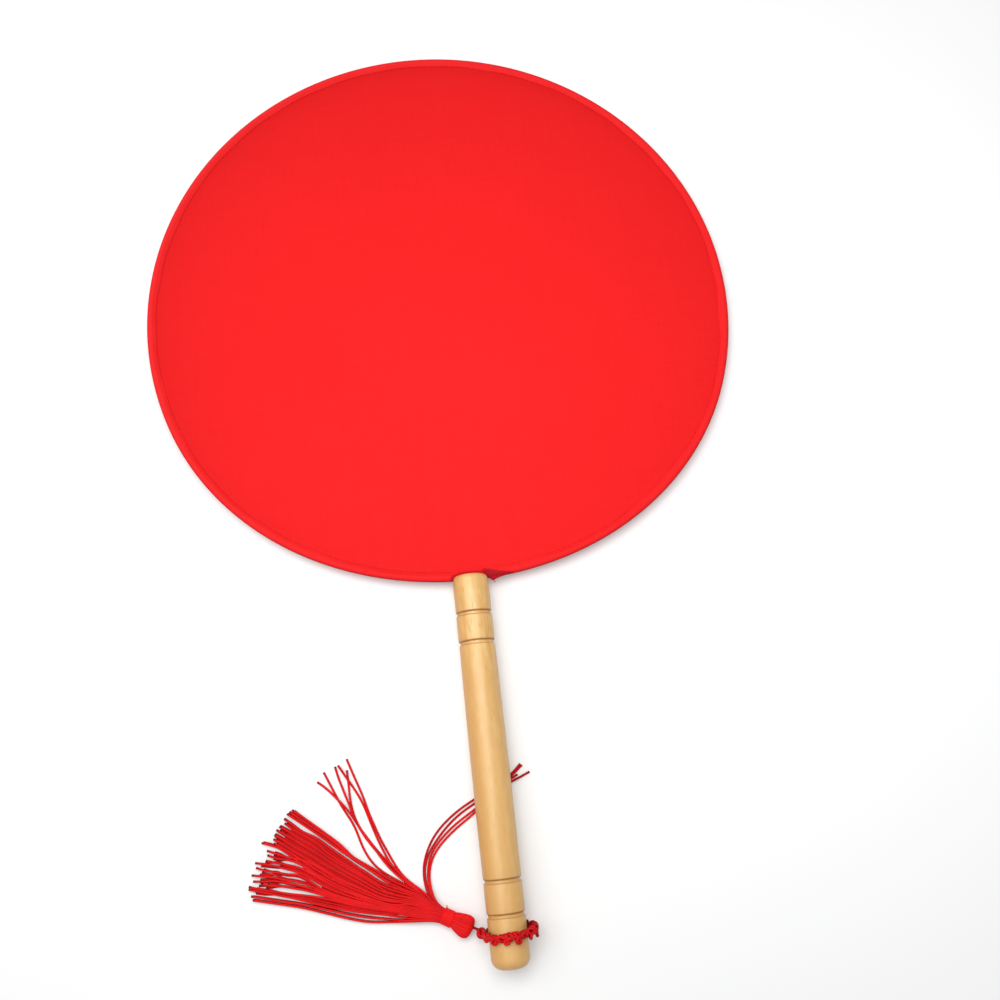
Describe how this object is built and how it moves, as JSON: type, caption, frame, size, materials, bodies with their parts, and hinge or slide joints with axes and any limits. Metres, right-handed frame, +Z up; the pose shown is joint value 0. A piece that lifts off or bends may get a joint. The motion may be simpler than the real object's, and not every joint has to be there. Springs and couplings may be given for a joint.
{
  "type": "round hand fan",
  "caption": "Round red cloth hand fan on a wire hoop, with a turned pale wood handle, a plaited red cord collar and a red tassel that lies beside the handle",
  "frame": {"origin": "middle of the footprint of the whole fan as it lies, on the table", "axes": "+Y along the fan from the handle to the far rim, +Z up from the table, +X to the fan's right seen from above"},
  "size_m": [0.25, 0.3905, 0.0215],
  "materials": {
    "wood": "pale varnished wood with fine grain along the handle, semi-gloss",
    "steel_wire": "drawn wire, hidden in the rim",
    "glue": "hard glue, hidden in the handle",
    "red_cloth": "fine bright red plain-weave cloth, slight sheen",
    "red_cord": "red twisted yarn, slight sheen"
  },
  "bodies": {
    "fan": {"handle": "wood", "glue_plug": "glue", "hoop_wire": "steel_wire", "front_cloth": "red_cloth", "back_cloth": "red_cloth"},
    "collar": {"collar_braid": "red_cord"},
    "link": {"hanging_knot": "red_cord"},
    "tassel": {"hanging_cord": "red_cord", "tassel_head": "red_cord", "neck_binding": "red_cord", "skirt_layer_1": "red_cord", "skirt_layer_2": "red_cord", "skirt_layer_3": "red_cord", "skirt_layer_4": "red_cord", "stray_strand_1": "red_cord", "stray_strand_2": "red_cord", "stray_strand_3": "red_cord", "stray_strand_4": "red_cord", "stray_strand_5": "red_cord", "stray_strand_6": "red_cord", "under_strand_1": "red_cord", "under_strand_2": "red_cord", "under_strand_3": "red_cord", "under_strand_4": "red_cord"}
  },
  "joints": [
    {"name": "collar_spin", "type": "hinge", "parent": "fan", "child": "collar", "pos_m": [0, -0.1822, 0.0108], "axis": [0, 0.9997, -0.0243], "continuous": true},
    {"name": "tassel_swing", "type": "hinge", "parent": "collar", "child": "link", "pos_m": [-0.01074, -0.18144, 0.00426], "axis": [0, 0, 1], "range_deg": [-33, 100]},
    {"name": "tassel_lift", "type": "hinge", "parent": "link", "child": "tassel", "pos_m": [-0.01074, -0.18144, 0.00426], "axis": [0.4818, 0.8763, 0], "range_deg": [-85, 22], "deforming": ["under_strand_1", "under_strand_2", "under_strand_3", "under_strand_4"]}
  ]
}
